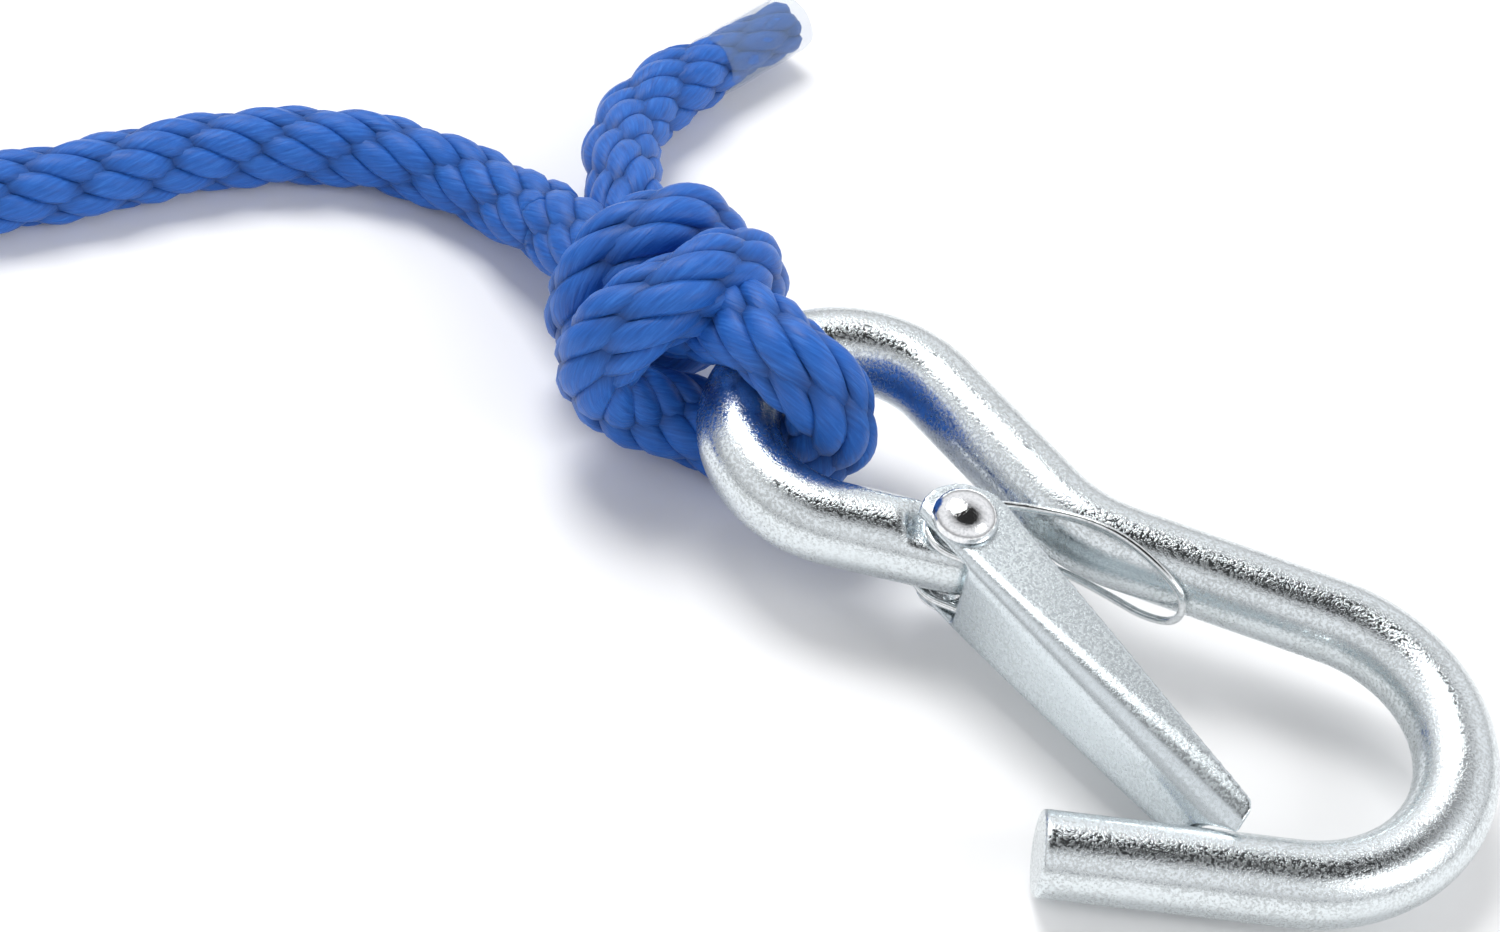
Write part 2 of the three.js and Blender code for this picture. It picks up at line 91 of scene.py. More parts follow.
# Rope
ROPE_RADIUS = 5.0
ROPE_STEP = 0.8                         # distance between the braid's rings
KNOT_SCALE = 1.1                        # size of the braid in the knot
STRANDS = 15
COLUMNS = 9                             # times that a strand surfaces in one turn round the rope
LAY_LENGTH = 138.0                      # one turn of a strand round the rope
STRAND_RADIUS = 3.05                    # mean distance from the rope's centre
STRAND_WAVE = 0.92                      # how far a strand rises and dips about it
STRAND_WIDTH = 1.62                     # half axes of a strand's section
STRAND_HEIGHT = 1.22
STRAND_CORNERS = 8
CORE_RADIUS = 2.6
CORE_CORNERS = 12
SLEEVE_RADIUS = 4.1
SLEEVE_LENGTH = 15.5
FILM_THICKNESS = 0.28
COIL_CENTRE = np.array([-176.5, 44.6])
COIL_RADIUS = 52.5
COIL_ENTRY = -55.1
INNER_RADIUS = 37.2
INNER_DRAW = 4.0
TIE_WIDTH = 14.0
TIE_ANGLE = 130.0
TIE_THICKNESS = 0.7
TIE_STEP = 0.7

# Centrelines, in the part's unshifted frame: over the eye's bar, down through the eye, back under the
# bar and twice round itself; then the tail; then the free rope from the knot to the coil
KNOT_ROUTE = [
    (-29.2, 39.2, 9.6), (-24.5, 33.6, 12), (-19, 27.8, 14), (-14, 22.5, 15.5), (-9.6, 17.6, 18.4),
    (-6.6, 13.6, 23.2), (-1.3, 8.9, 24.9), (3.2, 5.8, 24.7), (7, 5.4, 21.5), (8.6, 6.8, 16),
    (7.6, 9.2, 10.3), (4, 11.6, 6.2), (-1.5, 13.2, 5), (-7.5, 13.8, 5.6), (-13.2, 13, 7.2),
    (-17.8, 11.3, 10.2), (-20.3, 9.6, 14.5), (-19.6, 8.6, 19.8), (-16.4, 8.8, 24.4),
    (-12, 11.8, 26.8), (-8.2, 17, 26.4), (-6, 23.2, 22.5), (-6.2, 27.8, 16),
    (-9.5, 28.5, 9.5), (-14, 26.5, 6), (-19.5, 24, 6.5), (-23.2, 22.5, 11), (-23, 22.4, 17),
    (-20, 24.3, 21.7), (-15.5, 28.6, 22.5), (-12, 33.2, 19), (-12, 36, 13.5), (-14.5, 37.5, 10),
    (-18, 39.2, 9), (-20.6, 41.8, 9.6), (-21.9, 44.4, 9.9),
]
TAIL_ROUTE = [
    (-22.3, 45.8, 10.1), (-23.9, 52.6, 9), (-25.1, 58.9, 7.5), (-25.2, 66, 6),
    (-23.6, 73.2, 5.2), (-20.8, 79, 5), (-17.4, 84.2, 5),
]
RUN_ROUTE = [
    (-30, 40.1, 9.2), (-35.7, 45.2, 6.9), (-41.7, 49.4, 5.4), (-48.1, 51.6, 5.05), (-54.8, 52.2, 5),
    (-61.1, 51.4, 5), (-67, 49.3, 5), (-74, 45.9, 5), (-80.6, 41.4, 5), (-87.9, 35.4, 5),
    (-97.7, 28.7, 5), (-105.9, 23.1, 5), (-114.1, 17.5, 5), (-122.3, 11.9, 5), (-130.5, 6.3, 5),
    (-137, 1.8, 5),
]


# ---------------------------------------------------------------- camera
CAMERA_PLACE = Vector((-0.02105, -0.46362, 0.40235))
CAMERA_TARGET = Vector((-0.02950, -0.02527, 0.01354))
CAMERA_ROLL = math.radians(11.66)
CAMERA_LENS = 120


def make_camera():
    data = bpy.data.cameras.new("camera")
    data.lens = CAMERA_LENS
    data.sensor_width = 36
    camera = bpy.data.objects.new("camera", data)
    bpy.context.collection.objects.link(camera)
    back = (CAMERA_PLACE - CAMERA_TARGET).normalized()
    level = Vector((0, 0, 1)).cross(back).normalized()
    upright = back.cross(level)
    right = level * math.cos(CAMERA_ROLL) + upright * math.sin(CAMERA_ROLL)
    turned = Matrix((right, back.cross(right), back)).transposed()
    camera.matrix_world = Matrix.Translation(CAMERA_PLACE) @ turned.to_4x4()
    bpy.context.scene.camera = camera


make_camera()


# ---------------------------------------------------------------- mesh helpers
def rotation(axis, degrees):
    """Turning by an angle about an axis through the origin, as a 3x3 array."""
    return np.array(Matrix.Rotation(math.radians(degrees), 3, Vector(axis)))


def smoothstep(low, high, value):
    share = np.clip((value - low) / (high - low), 0, 1)
    return share * share * (3 - 2 * share)


def spline(points, per_span=24):
    """A centripetal Catmull-Rom curve through the points."""
    points = np.array(points, float)
    ends = [2 * points[0] - points[1], 2 * points[-1] - points[-2]]
    knots = np.vstack([ends[0], points, ends[1]])
    gaps = np.sqrt(np.linalg.norm(np.diff(knots, axis=0), axis=1))
    share = np.linspace(0, 1, per_span, endpoint=False)[:, None]
    line = []
    for i in range(1, len(knots) - 2):
        before, here, after, beyond = knots[i - 1:i + 3]
        g0, g1, g2 = gaps[i - 1:i + 2]
        leave = ((here - before) / g0 - (after - before) / (g0 + g1) + (after - here) / g1) * g1
        arrive = ((after - here) / g1 - (beyond - here) / (g1 + g2) + (beyond - after) / g2) * g1
        line.append(
            (2 * share**3 - 3 * share**2 + 1) * here + (share**3 - 2 * share**2 + share) * leave
            + (3 * share**2 - 2 * share**3) * after + (share**3 - share**2) * arrive
        )
    return np.vstack(line + [points[-1:]])


def resample(line, step):
    """The same line with points an even distance apart."""
    line = np.array(line, float)
    lengths = np.linalg.norm(np.diff(line, axis=0), axis=1)
    line = line[np.concatenate([[True], lengths > 1e-6])]
    along = np.concatenate([[0], np.cumsum(np.linalg.norm(np.diff(line, axis=0), axis=1))])
    places = np.linspace(0, along[-1], max(2, round(along[-1] / step) + 1))
    return np.stack([np.interp(places, along, line[:, i]) for i in range(3)], axis=1)


def smoothed(line, reach):
    """The line with its kinks rounded; its two ends stay."""
    weights = np.hanning(2 * reach + 3)[1:-1]
    weights /= weights.sum()
    first = 2 * line[0] - line[reach:0:-1]
    last = 2 * line[-1] - line[-2:-reach - 2:-1]
    padded = np.vstack([first, line, last])
    return np.stack([np.convolve(padded[:, i], weights, "valid") for i in range(3)], axis=1)


def tangents(line):
    direction = np.gradient(line, axis=0)
    return direction / np.linalg.norm(direction, axis=-1, keepdims=True)


def frames(line, first_side):
    """Tangent, side and top at each point, carried along the line without twist."""
    direction = tangents(line)
    side = np.array(first_side, float)
    sides = []
    for tangent in direction:
        side = side - tangent * (side @ tangent)
        side /= np.linalg.norm(side)
        sides.append(side)
    sides = np.array(sides)
    return direction, sides, np.cross(direction, sides)


def make_object(name, points, faces, uvs=None):
    """A smooth mesh object from points in the part's millimetres."""
    mesh = bpy.data.meshes.new(name)
    mesh.from_pydata((np.asarray(points) * MM).tolist(), [], faces)
    mesh.update()
    mesh.shade_smooth()
    if uvs is not None:
        layer = mesh.uv_layers.new(name="lay")
        layer.data.foreach_set("uv", np.asarray(uvs, np.float32).ravel())
    thing = bpy.data.objects.new(name, mesh)
    bpy.context.collection.objects.link(thing)
    return thing


def loft(name, rings, capped=True, scale=(1.0, 1.0)):
    """A tube through rings of points, rings[station, corner], with its two ends closed.

    Its UVs run once round in X and along the stations in Y, times scale.
    """
    stations, corners = rings.shape[:2]
    faces = []
    uvs = []
    for i in range(stations - 1):
        for j in range(corners):
            after = (j + 1) % corners
            a, b = i * corners, (i + 1) * corners
            faces.append((a + j, a + after, b + after, b + j))
            u0, u1 = j / corners * scale[0], (j + 1) / corners * scale[0]
            v0, v1 = i * scale[1], (i + 1) * scale[1]
            uvs += [(u0, v0), (u1, v0), (u1, v1), (u0, v1)]
    if capped:
        last = (stations - 1) * corners
        faces.append(tuple(range(corners))[::-1])
        faces.append(tuple(range(last, last + corners)))
        uvs += [(0, 0)] * (2 * corners)
    return make_object(name, rings.reshape(-1, 3), faces, uvs)


def tube_rings(line, radius, corners, first_side=(0, 0, 1)):
    _, side, top = frames(line, first_side)
    angle = np.linspace(0, 2 * np.pi, corners, endpoint=False)
    radius = np.broadcast_to(np.asarray(radius, float), len(line))[:, None, None]
    across = side[:, None] * np.cos(angle)[None, :, None]
    upward = top[:, None] * np.sin(angle)[None, :, None]
    return line[:, None] + (across + upward) * radius


def bevelled(thing, width, segments=3, angle=30):
    """Rounds the sharp edges a little, and shades the rest smooth."""
    modifier = thing.modifiers.new("edges", "BEVEL")
    modifier.width = width * MM
    modifier.segments = segments
    modifier.limit_method = "ANGLE"
    modifier.angle_limit = math.radians(angle)
    modifier.harden_normals = True


# ---------------------------------------------------------------- hook plane
def bent_bar(step=BAR_STEP):
    """The bar's centreline in the hook's plane, from the tongue to the nose's end."""
    place = np.array(ARM_END, float)
    heading = 180.0
    line = [place.copy()]

    def straight(length):
        nonlocal place
        direction = np.array([math.cos(math.radians(heading)), math.sin(math.radians(heading))])
        for share in np.linspace(0, 1, round(length / step) + 1)[1:]:
            line.append(place + direction * length * share)
        place = line[-1]

    def turn(radius, degrees):
        nonlocal place, heading
        side = math.copysign(1, degrees)
        centre_way = math.radians(heading + side * 90)
        centre = place + radius * np.array([math.cos(centre_way), math.sin(centre_way)])
        start = heading - side * 90
        count = max(4, round(radius * math.radians(abs(degrees)) / step))
        for share in np.linspace(0, 1, count + 1)[1:]:
            angle = math.radians(start + degrees * share)
            line.append(centre + radius * np.array([math.cos(angle), math.sin(angle)]))
        place = line[-1]
        heading += degrees

    straight(ARM_LENGTH)
    turn(EYE_RADIUS, -EYE_TURN)
    straight(LIMB_LENGTH)
    turn(NECK_RADIUS, NECK_TURN)
    straight(SHANK_LENGTH)
    turn(BEND_RADIUS, -BEND_TURN)
    straight(NOSE_LENGTH)
    return np.column_stack([np.array(line), np.zeros(len(line))])


BAR_LINE = bent_bar()
NOSE_END = BAR_LINE[-1]
NOSE_WAY = np.array([math.cos(math.radians(NOSE_SLOPE)), math.sin(math.radians(NOSE_SLOPE)), 0])
HOOK_TURN = rotation(NOSE_WAY, HOOK_TILT)


def placed(points):
    """Points of the hook's plane, in the part's frame."""
    points = np.asarray(points, float)
    lifted = (points - NOSE_END) @ HOOK_TURN.T + NOSE_END + [0, 0, BAR_RADIUS + NOSE_LIFT]
    return lifted - ORIGIN


def along_web(distance, offset, z=0.0):
    angle = math.radians(WEB_SLOPE)
    return (
        WEB_START[0] + distance * math.cos(angle) - offset * math.sin(angle),
        WEB_START[1] + distance * math.sin(angle) + offset * math.cos(angle), z,
    )


# ---------------------------------------------------------------- rope centreline
def round_coil(radius, angle, height):
    """Points at distances and angles, in degrees, round the coil's centre."""
    angle = np.radians(angle)
    return np.stack([
        COIL_CENTRE[0] + radius * np.cos(angle), COIL_CENTRE[1] + radius * np.sin(angle), height,
    ], axis=1)


# Degrees into a turn at which the turns change places, and at which the third starts to roll down
SHIFT_START = 300
ROLL_START = 240
TIE_REACH = 12.0                        # degrees of coil on each side that the tie draws together
TIE_SQUEEZE = 0.22                      # share by which it draws them together sideways
TIE_PRESS = 1.2                         # how far it presses the top turn down
BUNDLE_REACH = 8                        # the tied turns lie no further inside the coil's radius


def coil_line():
    """The coil's turns and the end inside them, from where the rope comes in to its melted end.

    The first turn lies outside on the floor, the second beside it and the third on top of both,
    until it rolls down on the inside and becomes the end.
    """
    gap = 2 * ROPE_RADIUS
    low, high = COIL_RADIUS - ROPE_RADIUS, COIL_RADIUS + ROPE_RADIUS
    top = ROPE_RADIUS + math.sqrt(3) * ROPE_RADIUS
    turned = np.arange(0, 360, 1.0)
    last_part = smoothstep(SHIFT_START, 360, turned)
    first_radius = high + (low - high) * last_part
    second_radius = low + (COIL_RADIUS - low) * last_part
    apart = second_radius - first_radius
    climb = ROPE_RADIUS + np.sqrt(np.clip(gap**2 - apart**2, 0, None))
    second_height = np.where(turned < SHIFT_START, ROPE_RADIUS, climb)
    roll = np.radians(60 + 120 * smoothstep(ROLL_START, SHIFT_START, turned))
    third_radius = np.where(turned < ROLL_START, COIL_RADIUS, low + gap * np.cos(roll))
    third_height = np.where(turned < ROLL_START, top, ROPE_RADIUS + gap * np.sin(roll))
    inner = turned >= SHIFT_START
    share = (turned[inner] - SHIFT_START) / (360 - SHIFT_START)
    third_radius[inner] = INNER_RADIUS - INNER_DRAW * share**2
    third_height[inner] = ROPE_RADIUS
    radius = np.concatenate([first_radius, second_radius, third_radius])
    height = np.concatenate([np.full(360, ROPE_RADIUS), second_height, third_height])
    angle = COIL_ENTRY - np.arange(len(radius))
    near_tie = np.exp(-(((angle - TIE_ANGLE + 180) % 360 - 180) / TIE_REACH) ** 2)
    in_bundle = radius > COIL_RADIUS - BUNDLE_REACH
    drawn_in = np.where(in_bundle, 1 - TIE_SQUEEZE * near_tie, 1)
    radius = COIL_RADIUS + (radius - COIL_RADIUS) * drawn_in
    height = height - TIE_PRESS * near_tie * (height > 2 * ROPE_RADIUS)
    return round_coil(radius, angle, height)


def straight_on(line, length):
    """The line with a straight stretch added after its last point."""
    way = line[-1] - line[-2]
    way /= np.linalg.norm(way)
    return np.vstack([line, line[-1] + way * np.linspace(1, length, 12)[:, None]])


coil_part = straight_on(coil_line(), SLEEVE_LENGTH)
tail_part = straight_on(spline(TAIL_ROUTE), SLEEVE_LENGTH)
run_part = spline(RUN_ROUTE)
entry = round_coil(
    np.array([COIL_RADIUS + ROPE_RADIUS]), np.array([COIL_ENTRY]), np.array([ROPE_RADIUS]),
)[0]
before_coil = (run_part - entry) @ (coil_part[1] - coil_part[0]) < -4
free_part = np.vstack([run_part[before_coil], coil_part])
knot_part = spline(KNOT_ROUTE)

# The rope's centreline from its end in the coil to the tail's end, and each point's distance along it
ROPE_LINE = resample(np.vstack([free_part[::-1], knot_part, tail_part]), ROPE_STEP)
ROPE_LINE = smoothed(ROPE_LINE, 4) - ORIGIN
ROPE_PLACE = np.arange(len(ROPE_LINE)) * np.linalg.norm(np.diff(ROPE_LINE, axis=0), axis=1).mean()


def nearest_index(point):
    return int(np.linalg.norm(ROPE_LINE - (np.array(point) - ORIGIN), axis=1).argmin())


KNOT_START = nearest_index(RUN_ROUTE[0])
KNOT_END = nearest_index(TAIL_ROUTE[0]) - 8  # the tail begins a little inside the knot
FREE_TWIST = 420                        # length of rope in one turn of its slight twist
KNOT_TWIST = 150                        # and in each turn that is added near the knot


def twisted_frames():
    """The rope's axes along its line; it has a slight twist, which grows towards the knot."""
    direction, side, top = frames(ROPE_LINE, (0, 0, 1))
    near_knot = smoothstep(ROPE_PLACE[KNOT_START] - 130, ROPE_PLACE[KNOT_START] - 30, ROPE_PLACE)
    rate = 2 * np.pi * (1 / FREE_TWIST + near_knot / KNOT_TWIST)
    twist = (np.cumsum(rate) * (ROPE_PLACE[1] - ROPE_PLACE[0]))[:, None]
    turned_side = side * np.cos(twist) + top * np.sin(twist)
    turned_top = top * np.cos(twist) - side * np.sin(twist)
    return direction, turned_side, turned_top


ROPE_AXES = twisted_frames()

# Shares by which the rope is thinner in a sleeve and at the tie, and the length of its rounded tips
MELTED_SHRINK = 0.26
TIED_SHRINK = 0.1
TIP_LENGTH = 1.6


def rope_scale(index):
    """The rope's size at places on its line: fuller in the knot, squeezed at the tie, melted thin
    inside the sleeves and rounded at its two tips.
    """
    place = ROPE_PLACE[index]
    knot = smoothstep(ROPE_PLACE[KNOT_START] - 12, ROPE_PLACE[KNOT_START] + 6, place)
    knot *= 1 - smoothstep(ROPE_PLACE[KNOT_END] - 6, ROPE_PLACE[KNOT_END] + 8, place)
    from_end = np.minimum(place, ROPE_PLACE[-1] - place)
    melted = smoothstep(SLEEVE_LENGTH + 5, SLEEVE_LENGTH - 3, from_end) * MELTED_SHRINK
    angle = math.radians(TIE_ANGLE)
    centre = np.append(COIL_CENTRE, 0) - ORIGIN
    way = np.array([math.cos(angle), math.sin(angle), 0])
    outward = (ROPE_LINE[index] - centre) @ way
    across = (ROPE_LINE[index] - centre) @ np.array([-way[1], way[0], 0])
    tied = np.exp(-(across / 9) ** 2) * (outward > 30)
    tip = np.sqrt(1 - np.clip(1 - from_end / TIP_LENGTH, 0, 1) ** 2 * 0.75)
    return (1 - (1 - KNOT_SCALE) * knot) * (1 - melted) * (1 - TIED_SHRINK * tied) * tip


def clear_of_bar(points, room=BAR_RADIUS + 0.1, reach=8):
    """Presses the rope's surface out of the hook's bar, where the knot grips it."""
    bar = placed(BAR_LINE)
    low, high = bar.min(0) - reach, bar.max(0) + reach
    near = np.where(((points > low) & (points < high)).all(1))[0]
    for chunk in np.array_split(near, max(1, len(near) // 4000)):
        away = points[chunk][:, None] - bar[None]
        distance = np.linalg.norm(away, axis=2)
        closest = distance.argmin(1)
        rows = np.arange(len(chunk))
        gap = distance[rows, closest]
        inside = gap < room
        way = away[rows, closest] / np.maximum(gap, 1e-6)[:, None]
        moved = bar[closest] + way * room
        points[chunk[inside]] = moved[inside]
    return points


def end_cap(first, corners):
    """Quads that close a ring of points, whose numbers run on from first."""
    return np.array([
        (first + i, first + i + 1, first + corners - 2 - i, first + corners - 1 - i)
        for i in range(corners // 2 - 1)
    ])


def ring_quads(stations, corners):
    """Quads between the rings of a tube whose points are numbered from 0, ring by ring."""
    grid = np.arange(stations * corners).reshape(stations, corners)
    return np.stack([
        grid[:-1], np.roll(grid[:-1], -1, 1), np.roll(grid[1:], -1, 1), grid[1:],
    ], axis=2).reshape(-1, 4)


def strand_uvs(distance):
    """A strand's UVs: once round it in X, and its distance along the rope in Y."""
    here, after = np.arange(STRAND_CORNERS), np.arange(1, STRAND_CORNERS + 1)
    u = np.stack([here, after, after, here], 1) / STRAND_CORNERS
    v = np.stack([distance[:-1], distance[:-1], distance[1:], distance[1:]], 1)
    shape = (len(distance) - 1, STRAND_CORNERS, 4)
    return np.stack([
        np.broadcast_to(u[None], shape), np.broadcast_to(v[:, None], shape),
    ], axis=3).reshape(-1, 2)


def strand_rings(strand, index, scale):
    """The points of one strand, ring by ring; it rises to the surface and dips under in turn."""
    _, side, top = (axis[index] for axis in ROPE_AXES)
    around = np.linspace(0, 2 * np.pi, STRAND_CORNERS, endpoint=False)
    angle = 2 * np.pi * (strand / STRANDS + ROPE_PLACE[index] / LAY_LENGTH)
    outward = side * np.cos(angle)[:, None] + top * np.sin(angle)[:, None]
    rise = np.cos(COLUMNS * angle)
    radius = (STRAND_RADIUS + STRAND_WAVE * rise) * scale
    centre = ROPE_LINE[index] + outward * radius[:, None]
    way = tangents(centre)
    out = outward - way * np.sum(outward * way, 1, keepdims=True)
    out /= np.linalg.norm(out, axis=1, keepdims=True)
    across = np.cross(way, out)
    fuller = 1 + 0.12 * rise
    width = (STRAND_WIDTH * scale * fuller)[:, None, None]
    height = (STRAND_HEIGHT * scale)[:, None, None]
    ring = centre[:, None]
    ring = ring + across[:, None] * np.cos(around)[None, :, None] * width
    ring = ring + out[:, None] * np.sin(around)[None, :, None] * height
    return ring.reshape(-1, 3)


def braid(name, start, end):
    """A stretch of the rope between two places on its line: its strands round a plain core.

    The attribute "depth" is a point's distance from the rope's centre, 1 at its nominal radius; the
    rope's material paints shade from it into the grooves between strands.
    """
    index = np.arange(start, end)
    count = len(index)
    strand_size = count * STRAND_CORNERS
    scale = rope_scale(index)
    quads = ring_quads(count, STRAND_CORNERS)
    uv_layout = strand_uvs(ROPE_PLACE[index])
    cap_loops = 2 * 4 * (STRAND_CORNERS // 2 - 1)
    points, faces, uvs = [], [], []
    for strand in range(STRANDS):
        first = strand * strand_size
        last = first + strand_size - STRAND_CORNERS
        points.append(strand_rings(strand, index, scale))
        faces += [
            quads + first, end_cap(first, STRAND_CORNERS)[:, ::-1], end_cap(last, STRAND_CORNERS),
        ]
        # Each strand's fibres start at another place in the noise.
        uvs += [uv_layout + [strand * 1.37, strand * 17.0], np.zeros((cap_loops, 2))]
    base = STRANDS * strand_size
    last = base + (count - 1) * CORE_CORNERS
    core = tube_rings(ROPE_LINE[index], CORE_RADIUS * scale, CORE_CORNERS, ROPE_AXES[1][start])
    points.append(core.reshape(-1, 3))
    faces += [
        ring_quads(count, CORE_CORNERS) + base,
        end_cap(base, CORE_CORNERS)[:, ::-1], end_cap(last, CORE_CORNERS),
    ]
    core_faces = sum(len(group) for group in faces[-3:])
    uvs.append(np.zeros((core_faces * 4, 2)))
    points = np.vstack(points)
    owner = np.concatenate([
        np.tile(np.repeat(index, STRAND_CORNERS), STRANDS), np.repeat(index, CORE_CORNERS),
    ])
    from_centre = np.linalg.norm(points - ROPE_LINE[owner], axis=1)
    depth = from_centre / (rope_scale(owner) * ROPE_RADIUS)
    points = clear_of_bar(points)
    points[:, 2] = np.maximum(points[:, 2], FLOOR_GAP)
    rope = make_object(name, points, np.vstack(faces).tolist(), np.vstack(uvs))
    # The depth attribute drives the painted shade in the grooves of the rope's material.
    layer = rope.data.attributes.new("depth", "FLOAT", "POINT")
    layer.data.foreach_set("value", depth.astype(np.float32))
    return rope


# ---------------------------------------------------------------- rope pieces
free_rope = braid("free_rope", 0, KNOT_START)
knot = braid("knot", KNOT_START - 1, KNOT_END + 1)
tail = braid("tail", KNOT_END, len(ROPE_LINE))
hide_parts("rope_run", "rope_coil", "rope_end")
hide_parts("rope_knot")
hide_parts("rope_tail")


# ---------------------------------------------------------------- sleeves and tie
def film_sleeve(name, end, way_in):
    """A thin clear film tube round a melted end, a little wavy where it has shrunk on."""
    stations, corners = 40, 48
    way = (end - way_in) / np.linalg.norm(end - way_in)
    line = end - way * np.linspace(SLEEVE_LENGTH - 0.3, -0.4, stations)[:, None]
    angle = np.linspace(0, 2 * np.pi, corners, endpoint=False)
    place = np.linspace(0, 1, stations)[:, None]
    wave = 0.10 * np.sin(3 * angle[None] + 4 * place) + 0.06 * np.sin(7 * angle[None] - 9 * place)
    rings = []
    _, side, top = frames(line, (0, 0, 1))
    across = side[:, None] * np.cos(angle)[None, :, None]
    upward = top[:, None] * np.sin(angle)[None, :, None]
    for radius in (SLEEVE_RADIUS, SLEEVE_RADIUS - FILM_THICKNESS):
        spread = (radius + wave)[:, :, None]
        rings.append(line[:, None] + spread * (across + upward))
    shell = np.concatenate([rings[0], rings[1][::-1], rings[0][:1]])
    sleeve = loft(name, shell, capped=False)
    weld = sleeve.modifiers.new("weld", "WELD")
    weld.merge_threshold = 0.01 * MM
    return sleeve


sleeve_back = int(SLEEVE_LENGTH / ROPE_STEP) - 4  # points from a rope's end to inside its sleeve
tail_sleeve = film_sleeve("tail_film", ROPE_LINE[-1], ROPE_LINE[-sleeve_back])
end_sleeve = film_sleeve("end_film", ROPE_LINE[0], ROPE_LINE[sleeve_back])
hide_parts("tail_sleeve")
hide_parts("end_sleeve")


def rounded_loop(half_width, low, high, corner, count=18):
    """Points round a box with round corners, as [outward, height]."""
    middle = (low + high) / 2
    half_height = (high - low) / 2
    loop = []
    for quarter in range(4):
        sign_x = 1 if quarter in (0, 3) else -1
        sign_y = 1 if quarter in (0, 1) else -1
        for share in np.linspace(0, 1, count // 2):
            angle = math.radians(90 * (quarter + share))
            loop.append((
                sign_x * (half_width - corner) + corner * math.cos(angle),
                middle + sign_y * (half_height - corner) + corner * math.sin(angle),
            ))
    return np.array(loop)


def tie_band():
    """A woven tape wound once round the three turns, its end lapped over on the outside."""
    outer = rounded_loop(half_width=8.8, low=0.05, high=17.6, corner=5.2)
    lap = outer[:14] * [1.12, 1.0] + [0, 0.2]
    rounds = np.vstack([outer, lap])
    rounds = resample(np.column_stack([rounds, np.zeros(len(rounds))]), TIE_STEP)[:, :2]
    angle = math.radians(TIE_ANGLE)
    way = np.array([math.cos(angle), math.sin(angle)])
    across = np.array([-way[1], way[0]])
    widths = np.linspace(-TIE_WIDTH / 2, TIE_WIDTH / 2, 13)
    centre = COIL_CENTRE - ORIGIN[:2]
    grid = []
    bow = 0.35 * np.cos(widths / TIE_WIDTH * np.pi)
    for outward, height in rounds:
        flat = centre + way * (COIL_RADIUS + outward)
        on_top = height > 9
        grid.append([
            [*(flat + across * w), max(0.05, height + b * on_top)] for w, b in zip(widths, bow)
        ])
    grid = np.array(grid)
    rows, columns = grid.shape[:2]
    faces = [
        (i * columns + j, i * columns + j + 1, (i + 1) * columns + j + 1, (i + 1) * columns + j)
        for i in range(rows - 1) for j in range(columns - 1)
    ]
    uvs = [
        (w * TIE_WIDTH / 12, r * TIE_STEP)
        for i in range(rows - 1) for j in range(columns - 1)
        for w, r in ((j, i), (j + 1, i), (j + 1, i + 1), (j, i + 1))
    ]
    band = make_object("tie_tape", grid.reshape(-1, 3), faces, uvs)
    thicken = band.modifiers.new("thickness", "SOLIDIFY")
    thicken.thickness = TIE_THICKNESS * MM
    thicken.offset = 0
    bevelled(band, 0.2, 2)
    return band


tie = tie_band()
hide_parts("coil_tie")


# ---------------------------------------------------------------- hook body
def hook_bar():
    """The bent round bar, pressed flat and rounded at its tongue, bevelled at its cut nose."""
    corners = 64
    angle = np.linspace(0, 2 * np.pi, corners, endpoint=False)
    line = BAR_LINE.copy()
    direction = tangents(line)
    rings = []
    for i, place in enumerate(line):
        side = np.array([-direction[i][1], direction[i][0], 0])
        across = BAR_RADIUS * np.cos(angle)
        through = BAR_RADIUS * np.sin(angle)
        if i < round(ARM_LENGTH / BAR_STEP):
            pressed = smoothstep(TONGUE_START_X - 0.5, TONGUE_START_X + TONGUE_RAMP, place[0])
            unpressed = BAR_RADIUS * 1.25
            half = unpressed + (TONGUE_HALF - unpressed) * pressed
            through = through / (1 + np.abs(through / half) ** 10) ** 0.1
            past = max(0.0, place[0] - PIVOT[0])
            width = math.sqrt(max(0.05, BAR_RADIUS**2 - past**2))
            across = across * width / BAR_RADIUS
        rings.append(place + side * across[:, None] + np.array([0, 0, 1]) * through[:, None])
    nose = []
    for depth in np.linspace(0, 90, 7):
        trim = NOSE_BEVEL * (1 - math.cos(math.radians(depth)))
        reach = NOSE_BEVEL * math.sin(math.radians(depth))
        ring = rings[-1] - NOSE_END
        nose.append(NOSE_END + ring * (1 - trim / BAR_RADIUS) + direction[-1] * (reach - NOSE_BEVEL))
    rings = np.array(rings[:-2] + nose)
    shape = rings.shape
    return loft("hook_bar", placed(rings.reshape(-1, 3)).reshape(shape), scale=(31.4, 0.5))


hook = hook_bar()
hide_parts("hook_body")


# ---------------------------------------------------------------- rivet
def turned_piece(name, profile, corners=64):
    """A closed turned shape about the pivot's axis, from [radius, height] points."""
    angle = np.linspace(0, 2 * np.pi, corners, endpoint=False)
    rings = [
        np.stack([
            PIVOT[0] + r * np.cos(angle), PIVOT[1] + r * np.sin(angle), np.full(corners, z),
        ], axis=1)
        for r, z in profile
    ]
    rings = np.array(rings)
    return loft(name, placed(rings.reshape(-1, 3)).reshape(rings.shape))


